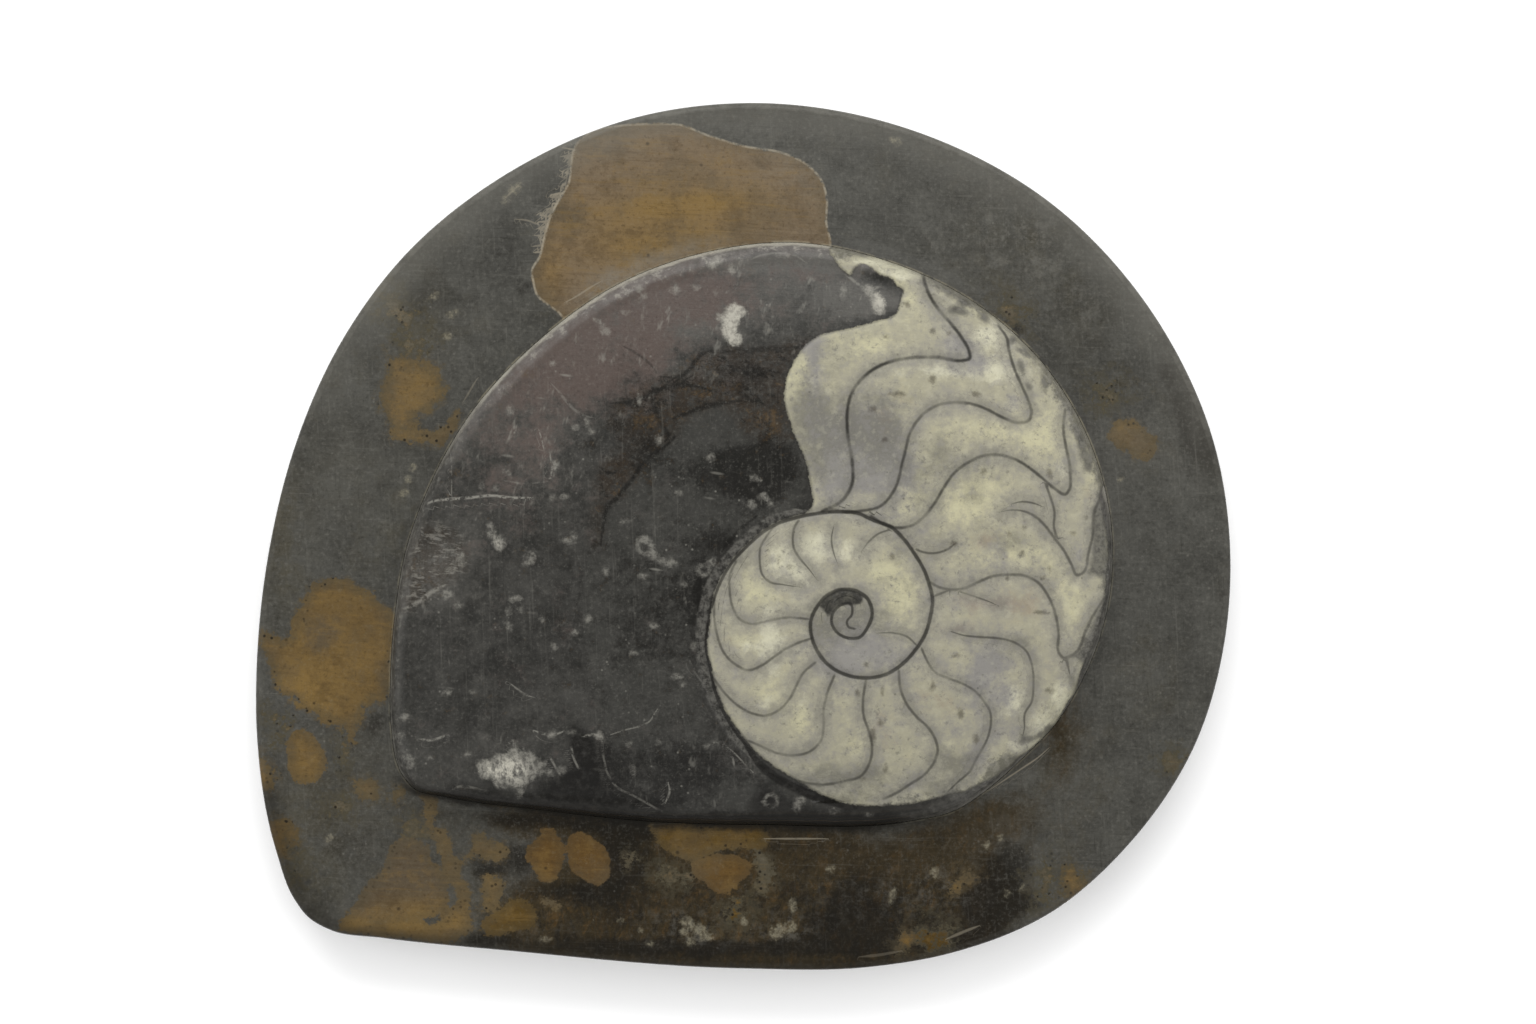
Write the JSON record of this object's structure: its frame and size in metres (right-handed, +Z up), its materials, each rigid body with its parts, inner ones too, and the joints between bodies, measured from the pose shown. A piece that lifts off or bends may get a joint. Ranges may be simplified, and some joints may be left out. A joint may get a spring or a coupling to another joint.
{
  "type": "fossil nautiloid",
  "caption": "Polished stone plaque with a coiled, chambered fossil shell standing in low relief on a sloping rim; lies flat on its sawn base.",
  "frame": {"origin": "middle of the outline's bounding box, on the sawn base that the plaque lies on", "axes": "+Z up through the polished face, +X along the plaque's longest side, +Y towards the round back of the outline"},
  "size_m": [0.1402, 0.1247, 0.025],
  "materials": {
    "slab_limestone": "satin",
    "fossil_calcite": "polished"
  },
  "bodies": {
    "root": {"stone_slab": "slab_limestone", "fossil": "fossil_calcite"}
  },
  "joints": []
}
